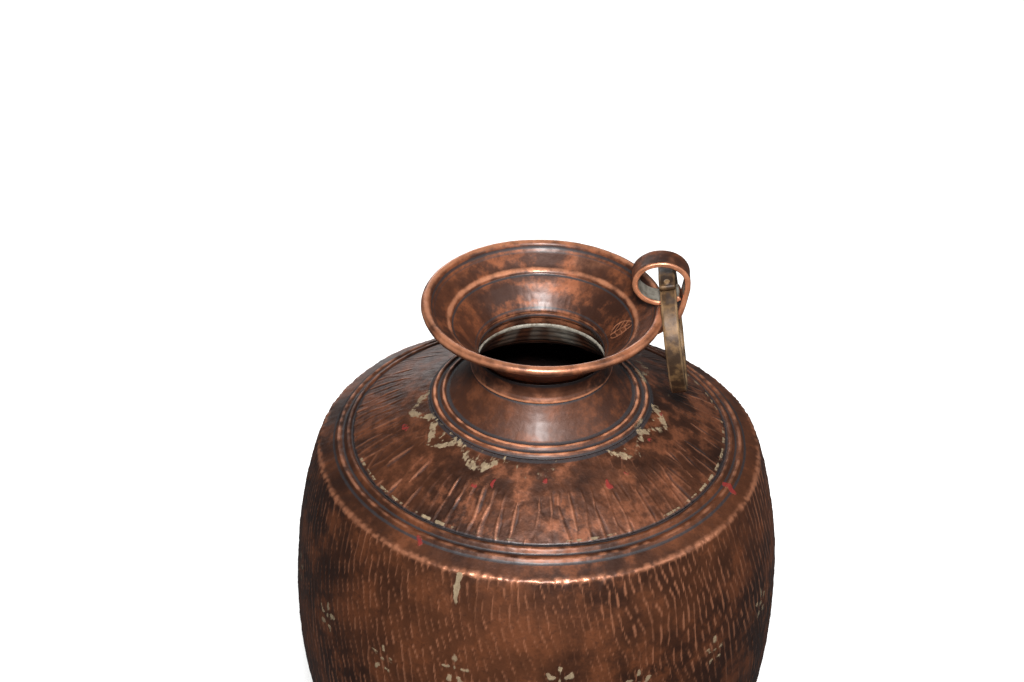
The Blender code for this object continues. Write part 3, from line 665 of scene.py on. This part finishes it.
def chasedLeaf(sheet):
    # plain leaf with a vein and side veins, chased inside the bell below the loop
    u, v = (sheet.angle - radians(2.0)) * 59, (sheet.radius - 59.0) / 0.69
    u, v = u * 0.94 + v * 0.34, v * 0.94 - u * 0.34
    half = 6.6 * np.sqrt(np.clip(1 - (v / 11.5) ** 2, 0, 1)) * (1 - v / 34)
    line = np.where(np.abs(v) < 11.6, np.abs(np.abs(u) - half), 9)
    line = np.minimum(line, np.hypot(u, np.maximum(np.abs(v + 1.5) - 9.5, 0)))
    side = np.abs((v - np.abs(u) * 0.8) % 5.2 - 2.6)
    line = np.minimum(line, np.where((np.abs(u) < half) & (np.abs(v) < 8), side, 9))
    return np.exp(-(line / 0.75) ** 2) * (np.abs(sheet.angle) < 0.6)


def mouthFunnel():
    cx, cz, reach = mouth["roll"]
    turns = [mouth["rollFrom"] + (mouth["rollTo"] - mouth["rollFrom"]) * k / 26 for k in range(27)]
    roll = [(cx + reach * cos(radians(t)), cz + reach * sin(radians(t))) for t in turns]
    reach -= mouth["rollSheet"]
    back = [(cx + reach * cos(radians(t)), cz + reach * sin(radians(t))) for t in turns[::-3]]
    outer = refined(eased(mouth["line"], 0.7, 2), mouth["pace"]) + roll
    sheet, lift = smoothSheet("mouth_funnel_shell", mouth, outer, back + refined(mouth["under"], 2.0), 81)
    leaf = chasedLeaf(sheet) * sheet.skin
    wobble = sheet.cloud(48, 86) * 0.45 * step(sheet.radius, 60, 86)
    sheet.lift(lift + sheet.rings([mouth["crease"]]) - leaf * 0.30)
    sheet.points = sheet.read(sheet.mesh.vertices, "co", 3) / mm
    sheet.points[:, 2] += wobble
    sheet.lift(np.zeros(len(wobble)))
    crest = sheet.rings(mouth["bright"]) * (0.78 + 0.35 * sheet.cloud(9, 87))
    scraped = step(sheet.cloud(26, 88), 0.1, 0.8) * 0.30 * sheet.skin * (sheet.radius < 80)
    crest = np.maximum(crest, np.maximum(scraped, leaf * 0.75))
    sheet.finish(smoothCopper, "pot", ["mouth_funnel"], "patinated_copper", crest=crest,
                 hollow=sheet.rings(mouth["dark"]))


wornLook = dict(smoothLook, ground=tone(0.23, 0.085, 0.042), warm=tone(0.36, 0.135, 0.066), patchSize=30)
wornCopper = copperFinish("wornCopper", wornLook)
neckCone()
collarBand()
mouthFunnel()
print("neck and mouth made")


def throughPoints(points, count):
    # smooth line through all points, count steps between two of them
    ends = [points[0] * 2 - points[1]] + points + [points[-1] * 2 - points[-2]]
    out = []
    for a, b, c, d in zip(ends, ends[1:], ends[2:], ends[3:]):
        for k in range(count):
            t = k / count
            out.append(0.5 * (2 * b + (c - a) * t + (2 * a - 5 * b + 4 * c - d) * t * t
                              + (3 * b - a - 3 * c + d) * t ** 3))
    return out + [points[-1]]


class Bar(Sheet):
    # a chamfered bar swept along a flat line; across and depth say where a point is on its section
    def __init__(self, name, path, width, thick, chamfer, place):
        w, t, c = width / 2, thick / 2, chamfer
        corners = [(-w + c, -t), (w - c, -t), (w, -t + c), (w, t - c),
                   (w - c, t), (-w + c, t), (-w, t - c), (-w, -t + c)]
        section = refined(eased([(0, -t)] + corners[1:] + [corners[0], (0, -t)], c * 0.4, 2), 1.1)[:-1]
        bm = bmesh.new()
        keys = [bm.verts.layers.float.new(key) for key in ("along", "skin", "across", "depth")]
        before, walked = None, 0.0
        for k, point in enumerate(path):
            ahead = (path[min(k + 1, len(path) - 1)] - path[max(k - 1, 0)]).normalized()
            side = Vector((-ahead.y, ahead.x))
            walked += (point - path[max(k - 1, 0)]).length
            ring = []
            for across, depth in section:
                spot = point + side * depth
                vert = bm.verts.new((across * mm, spot.x * mm, spot.y * mm))
                for key, value in zip(keys, (walked, 1.0, across, depth)):
                    vert[key] = value
                ring.append(vert)
            edges = [bm.edges.new(pair) for pair in zip(ring, ring[1:] + ring[:1])]
            if before:
                bmesh.ops.bridge_loops(bm, edges=before + edges)
            if k in (0, len(path) - 1):
                bmesh.ops.contextual_create(bm, geom=edges)
            before = edges
        bmesh.ops.triangulate(bm, faces=[face for face in bm.faces if len(face.verts) > 4])
        bmesh.ops.recalc_face_normals(bm, faces=bm.faces)
        bmesh.ops.transform(bm, matrix=place, verts=bm.verts)
        self.mesh = bpy.data.meshes.new(name)
        bm.to_mesh(self.mesh)
        bm.free()
        self.mesh.shade_smooth()
        self.name = name
        self.measure()
        self.across = self.read(self.mesh.attributes["across"].data, "value")
        self.depth = self.read(self.mesh.attributes["depth"].data, "value")
        self.corner = (np.exp(-((w - np.abs(self.across)) / (c + 0.5)) ** 2)
                       * np.exp(-((t - np.abs(self.depth)) / (c + 0.3)) ** 2))

    def cloud(self, size, seed):
        turned = self.across + np.where(self.depth > 0, 60.0, 0.0)
        return wavy(turned / size + 50, self.along / size, seed)


strap = {
    "width": 19.0, "thick": 4.2, "chamfer": 0.9, "turn": radians(-4), "centre": (86.25, 498.76),
    "tail": [(56.72, 442.12), (62.42, 448.14), (67.49, 451.44), (72.56, 454.15), (77.72, 454.83),
             (82.61, 455.44), (86.65, 457.56), (90.63, 460.79), (95.58, 464.74), (100.2, 470.98),
             (103.14, 481.96), (105.55, 494.62)],
    "curl": (19.3, 16.55), "curlFrom": -2.4, "curlTo": 316,
}
ring = {
    "width": 12.2, "thick": 4.5, "chamfer": 1.2, "inner": 40.3, "drop": 48.787, "lean": radians(-8.6),
    "outward": 4.0,
    "lapFrom": -40, "lapTo": 13.5, "climbFrom": 250, "climb": 4.8, "lapLift": 2.5,
    "rivetAt": 8.5, "shank": 1.8, "head": 3.1, "headRise": 1.4,
}
brassLook = dict(
    smoothLook, dark=tone(0.045, 0.024, 0.012), ground=tone(0.115, 0.062, 0.026),
    warm=tone(0.19, 0.105, 0.042), bright=tone(0.46, 0.29, 0.15), patchSize=14, cloudSize=5, rough=0.56,
    metal=0.42, depth=0.38, warmShare=0.8, crestShare=0.7, coat=0.10, coatRough=0.4)
strapLook = dict(smoothLook, patchSize=16, cloudSize=6)
oldBrass = copperFinish("oldBrass", brassLook)
strapCopper = copperFinish("strapCopper", strapLook)


def loopStrap():
    cx, cz = strap["centre"]
    wide, tall = strap["curl"]
    tail = throughPoints([Vector(spot) for spot in strap["tail"]], 7)
    turns = [strap["curlFrom"] + (strap["curlTo"] - strap["curlFrom"]) * k / 105 for k in range(1, 106)]
    path = tail + [Vector((cx + wide * cos(radians(t)), cz + tall * sin(radians(t)))) for t in turns]
    path = [Vector((spot.x - cx, spot.y)) for spot in path]
    place = (Matrix.Translation((cx * mm, 0, 0)) @ Matrix.Rotation(strap["turn"], 4, "Z")
             @ Matrix.Rotation(-pi / 2, 4, "Z"))
    bar = Bar("loop_strap_bar", path, strap["width"], strap["thick"], strap["chamfer"], place)
    uneven = bar.cloud(9, 91) * 0.16 + bar.cloud(3.6, 92) * 0.05
    bar.lift(uneven - bar.corner * (0.12 + 0.12 * bar.cloud(4, 93)))
    curled = step(bar.along, 66, 80)
    hole = curled * step(bar.depth, 1.2, 1.9)
    low = step(cz - bar.height, -6, 8)
    edge = step(np.abs(bar.across), strap["width"] / 2 - 1.1, strap["width"] / 2 - 0.4)
    crest = np.maximum(bar.corner * (0.85 + 0.3 * bar.cloud(5, 94)), 0.35 * step(bar.cloud(8, 95), 0.1, 0.8))
    crest = np.maximum(crest, edge * (0.62 + 0.25 * bar.cloud(6, 98)))
    rubbed = hole * step(bar.height, 505, 511) * 0.9
    bar.finish(strapCopper, "pot", ["loop_strap"], "worn_copper", crest=np.maximum(crest, rubbed),
               hollow=(1 - curled) * 0.35 * step(bar.cloud(10, 96), -0.2, 0.6),
               tin=hole * low * (0.75 + 0.35 * bar.cloud(5, 97)) * (1 - bar.corner))


def ringRadius(turn):
    share = min(max((turn - ring["climbFrom"]) / (360 + ring["lapFrom"] - ring["climbFrom"]), 0), 1)
    lift = 0.0
    if turn > ring["climbFrom"]:
        lift = sin(pi * (turn - ring["climbFrom"]) / (360 + ring["lapTo"] - ring["climbFrom"])) ** 2
    climb = ring["climb"] * share * share * (3 - 2 * share)
    return ring["inner"] + ring["thick"] / 2 + climb + ring["lapLift"] * lift


def pivotPlace():
    hinge = next(joint for joint in frame["joints"] if joint["name"] == "ring_swing")
    return (Matrix.Translation(hinge["pos_m"]) @ Matrix.Rotation(strap["turn"], 4, "Z")
            @ Matrix.Rotation(ring["lean"], 4, "Y"))


def hangingRing():
    path = []
    for k in range(261):
        turn = ring["lapFrom"] + (360 + ring["lapTo"] - ring["lapFrom"]) * k / 260
        reach = ringRadius(turn)
        path.append(Vector((-reach * sin(radians(turn)), reach * cos(radians(turn)) - ring["drop"])))
    place = pivotPlace() @ Matrix.Translation((ring["outward"] * mm, 0, 0))
    bar = Bar("hanging_ring_bar", path, ring["width"], ring["thick"], ring["chamfer"], place)
    uneven = bar.cloud(11, 101) * 0.14 + bar.cloud(4, 102) * 0.07
    bar.lift(uneven - bar.corner * (0.10 + 0.14 * bar.cloud(5, 103)))
    crest = bar.corner * (0.75 + 0.5 * bar.cloud(9, 104))
    # painted light: the ring's face below the loop, out of its shadow, is lightened in patches
    face = step(bar.cloud(16, 105), -0.1, 0.8) * 0.45 * step(490 - bar.height, 0, 40)
    # painted shadow of the loop on the ring's top, and patchy soot
    loopShadowAndSoot = step(bar.height, 482, 500) * 0.30 + step(bar.cloud(7, 106), 0.35, 0.9) * 0.30
    bar.finish(oldBrass, "ring", ["hanging_ring"], "old_brass", crest=np.maximum(crest, face), hollow=loopShadowAndSoot)


def ringRivet():
    face = ringRadius(360 + ring["rivetAt"]) + ring["thick"] / 2 - ring["inner"]
    shank, head, rise = ring["shank"], ring["head"], ring["headRise"]
    dome = [(head * cos(radians(t)), face + 0.05 + rise * sin(radians(t))) for t in range(0, 90, 10)]
    outer = [(0.0, 0.6), (1.4, 0.6), (shank, 1.0), (shank, face), (head - 0.3, face)] + dome
    sheet = Sheet("ring_rivet_head", outer + [(0.0, face + 0.05 + rise)], [], 48)
    sheet.lift(sheet.cloud(1.6, 111) * 0.05 * sheet.skin)
    turn = radians(ring["rivetAt"])
    out = Vector((0, -sin(turn), cos(turn)))
    spot = Vector((ring["outward"], 0, -ring["drop"])) + out * ring["inner"]
    sheet.mesh.transform(pivotPlace() @ Matrix.Translation(spot * mm) @ Matrix.Rotation(turn, 4, "X"))
    crestBrightening = step(sheet.height, face + 0.6, face + 1.3) * 0.7
    sheet.finish(oldBrass, "ring", ["ring_rivet"], "old_brass", crest=crestBrightening,
                 hollow=1 - step(sheet.height, face + 0.1, face + 0.7))


loopStrap()
hangingRing()
ringRivet()
print("loop and ring made")


# the wire in the rim and the solder under the strap keep the shapes they have in the frame
def ironFinish():
    f = Finish("rimIron")
    cloud, grain = f.noise(6, 5), f.noise(1.5, 4)
    colour = f.mix(f.ramp(cloud, 0.42, 0.62), tone(0.045, 0.038, 0.034), tone(0.13, 0.055, 0.028))
    return f.done(colour, 0.55 + (grain - 0.5) * 0.3, 0.7 - cloud * 0.3, cloud + grain * 0.6, 0.2)


def solderFinish():
    f = Finish("oldSolder")
    cloud, grain = f.noise(4, 5), f.noise(1.2, 4)
    colour = f.mix(f.ramp(cloud, 0.40, 0.60), tinGrey, tinStain)
    return f.done(colour, 0.42 + (grain - 0.5) * 0.3, 0.85 - cloud * 0.2, cloud + grain * 0.5, 0.3)


for node, material in (("rim_wire", ironFinish()), ("strap_solder", solderFinish())):
    for held in frame["nodes"][node].material_slots:
        held.material = material
print("wire and solder finished")


stage = {
    "floorLine": [(0, 0), (7, 0), (9.2, 0.5), (10.6, 2.0), (11, 4.5), (11, 9)],  # radius and height in m
    "floorTone": tone(0.86, 0.86, 0.85), "floorGlow": 0.8,
    "world": tone(0.86, 0.88, 0.92), "worldStrength": 0.10,
    # name, turn from the front, elevation, distance in m, size in m, watts
    "lights": [("keyLight", 2.0, 45, 2.3, 0.42, 95), ("fillLight", 72, 35, 2.6, 1.5, 9),
               ("rearLight", 190, 9, 2.6, 1.4, 11)],
    "aim": (0.0, 0.0, 0.36),
}
cameraView = {"away": 1.854, "height": 1.6741, "pitch": 33.56, "yaw": -0.69, "roll": 1.2, "lens": 105.47}


def buildFloor():
    bm = bmesh.new()
    verts = [bm.verts.new((radius, 0, height)) for radius, height in eased(stage["floorLine"], 1.5, 6)]
    edges = [bm.edges.new(pair) for pair in zip(verts, verts[1:])]
    bmesh.ops.spin(bm, geom=verts + edges, cent=(0, 0, 0), axis=(0, 0, 1), angle=2 * pi, steps=64,
                   use_merge=True)
    bmesh.ops.remove_doubles(bm, verts=bm.verts, dist=mm)
    bmesh.ops.recalc_face_normals(bm, faces=bm.faces)
    mesh = bpy.data.meshes.new("floor")
    bm.to_mesh(mesh)
    bm.free()
    mesh.shade_smooth()
    f = Finish("paleFloor")
    speck = f.noise(30, 3)
    f.shader.inputs["Emission Color"].default_value = stage["floorTone"]
    f.shader.inputs["Emission Strength"].default_value = stage["floorGlow"]
    mesh.materials.append(f.done(stage["floorTone"], 0.85 + (speck - 0.5) * 0.05, 0.0, speck, 0.02))
    floor = bpy.data.objects.new("floor", mesh)
    bpy.context.collection.objects.link(floor)
    floor.visible_glossy = floor.visible_diffuse = False  # keeps the pot's dark sides dark


def buildLights():
    aim = Vector(stage["aim"])
    for name, turn, rise, away, size, watts in stage["lights"]:
        angle, up = frontAngle + radians(turn), radians(rise)
        toLight = Vector((cos(angle) * cos(up), sin(angle) * cos(up), sin(up)))
        lamp = bpy.data.lights.new(name, "AREA")
        lamp.shape, lamp.size, lamp.energy = "DISK", size, watts
        obj = bpy.data.objects.new(name, lamp)
        obj.visible_camera = False
        obj.location = aim + toLight * away
        obj.rotation_euler = toLight.to_track_quat("Z", "Y").to_euler()
        bpy.context.collection.objects.link(obj)
    world = bpy.data.worlds.new("studio")
    world.use_nodes = True
    back = world.node_tree.nodes["Background"].inputs
    back["Color"].default_value, back["Strength"].default_value = stage["world"], stage["worldStrength"]
    bpy.context.scene.world = world
    bpy.context.scene.view_settings.view_transform = "Standard"


def buildCamera():
    c = cameraView
    pitch, yaw, roll = (radians(c[key]) for key in ("pitch", "yaw", "roll"))
    look = Vector((sin(yaw) * cos(pitch), cos(yaw) * cos(pitch), -sin(pitch)))
    right = Vector((cos(yaw), -sin(yaw), 0))
    up = right.cross(look)
    right, up = right * cos(roll) + up * sin(roll), up * cos(roll) - right * sin(roll)
    matrix = Matrix((right, up, -look)).transposed().to_4x4()
    matrix.translation = (0, -c["away"], c["height"])
    lens = bpy.data.cameras.new("camera")
    lens.lens, lens.sensor_width = c["lens"], 36
    lens.clip_start, lens.clip_end = 0.05, 60
    camera = bpy.data.objects.new("camera", lens)
    bpy.context.collection.objects.link(camera)
    camera.matrix_world = Matrix.Rotation(frontAngle + pi / 2, 4, "Z") @ matrix
    bpy.context.scene.camera = camera


buildFloor()
buildLights()
buildCamera()
print("stage ready")
